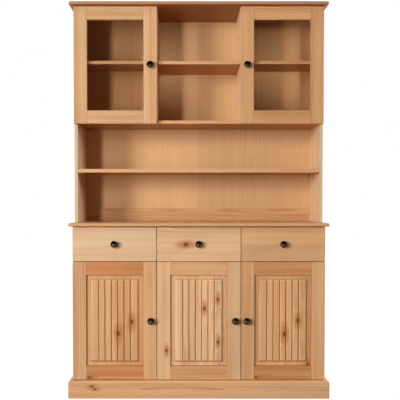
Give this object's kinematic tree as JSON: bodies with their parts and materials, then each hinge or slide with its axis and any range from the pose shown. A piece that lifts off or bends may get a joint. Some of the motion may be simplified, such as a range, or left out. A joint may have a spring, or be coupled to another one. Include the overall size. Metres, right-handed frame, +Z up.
{
  "type": "glazed dresser",
  "caption": "Two-part pine dresser: drawers over fluted-panel doors below a worktop, and a hutch with glazed doors, an open bay and an open shelf section.",
  "frame": {"origin": "centre of the overall box at floor level; the knobs' fronts and the carcass backs are equally far from it", "axes": "+Z up, the front with its doors and drawers faces -Y, +X to the right of someone facing the front"},
  "size_m": [1.304, 0.371, 1.98],
  "materials": {
    "pine": "waxed honey pine",
    "pine_panel": "waxed pine board",
    "clear_glass": "clear float glass",
    "knob_bronze": "dark antique bronze",
    "shelf_pin_bronze": "dark antique bronze",
    "hinge_steel": "nickel-plated pressed steel",
    "pin_steel": "bright steel"
  },
  "bodies": {
    "carcass": {"base_back": "pine_panel", "base_divider": "pine", "base_floor": "pine", "base_shelves": "pine", "base_sides": "pine", "cornice": "pine", "drawer_deck": "pine", "drawer_divider": "pine", "drawer_runners": "pine", "hinge_arms": "hinge_steel", "hinge_pins": "pin_steel", "hutch_back": "pine_panel", "hutch_back_rail": "pine", "hutch_dividers": "pine", "hutch_floor": "pine", "hutch_shelves": "pine", "hutch_sides": "pine", "plinth_front": "pine", "plinth_returns": "pine", "shelf_pins": "shelf_pin_bronze", "worktop": "pine"},
    "door_left": {"door_left_hinge_cups": "hinge_steel", "door_left_knob": "knob_bronze", "door_left_panel": "pine", "door_left_rails": "pine", "door_left_stiles": "pine"},
    "door_middle": {"door_middle_hinge_cups": "hinge_steel", "door_middle_knob": "knob_bronze", "door_middle_panel": "pine", "door_middle_rails": "pine", "door_middle_stiles": "pine"},
    "door_right": {"door_right_hinge_cups": "hinge_steel", "door_right_knob": "knob_bronze", "door_right_panel": "pine", "door_right_rails": "pine", "door_right_stiles": "pine"},
    "drawer_left": {"drawer_left_bottom": "pine_panel", "drawer_left_box": "pine", "drawer_left_front": "pine", "drawer_left_knob": "knob_bronze"},
    "drawer_middle": {"drawer_middle_bottom": "pine_panel", "drawer_middle_box": "pine", "drawer_middle_front": "pine", "drawer_middle_knob": "knob_bronze"},
    "drawer_right": {"drawer_right_bottom": "pine_panel", "drawer_right_box": "pine", "drawer_right_front": "pine", "drawer_right_knob": "knob_bronze"},
    "glass_door_left": {"glass_door_left_beads": "pine", "glass_door_left_hinge_cups": "hinge_steel", "glass_door_left_knob": "knob_bronze", "glass_door_left_pane": "clear_glass", "glass_door_left_rails": "pine", "glass_door_left_stiles": "pine"},
    "glass_door_right": {"glass_door_right_beads": "pine", "glass_door_right_hinge_cups": "hinge_steel", "glass_door_right_knob": "knob_bronze", "glass_door_right_pane": "clear_glass", "glass_door_right_rails": "pine", "glass_door_right_stiles": "pine"}
  },
  "joints": [
    {"name": "drawer_left_slide", "type": "slide", "parent": "carcass", "child": "drawer_left", "axis": [0, -1, 0], "range_m": [0, 0.22]},
    {"name": "drawer_middle_slide", "type": "slide", "parent": "carcass", "child": "drawer_middle", "axis": [0, -1, 0], "range_m": [0, 0.22]},
    {"name": "drawer_right_slide", "type": "slide", "parent": "carcass", "child": "drawer_right", "axis": [0, -1, 0], "range_m": [0, 0.22]},
    {"name": "door_left_hinge", "type": "hinge", "parent": "carcass", "child": "door_left", "pos_m": [-0.621, -0.151, 0.386], "axis": [0, 0, -1], "range_deg": [0, 105]},
    {"name": "door_middle_hinge", "type": "hinge", "parent": "carcass", "child": "door_middle", "pos_m": [-0.20067, -0.151, 0.386], "axis": [0, 0, -1], "range_deg": [0, 105]},
    {"name": "door_right_hinge", "type": "hinge", "parent": "carcass", "child": "door_right", "pos_m": [0.621, -0.151, 0.386], "axis": [0, 0, 1], "range_deg": [0, 105]},
    {"name": "glass_door_left_hinge", "type": "hinge", "parent": "carcass", "child": "glass_door_left", "pos_m": [-0.621, -0.101, 1.667], "axis": [0, 0, -1], "range_deg": [0, 105]},
    {"name": "glass_door_right_hinge", "type": "hinge", "parent": "carcass", "child": "glass_door_right", "pos_m": [0.621, -0.101, 1.667], "axis": [0, 0, 1], "range_deg": [0, 105]}
  ]
}
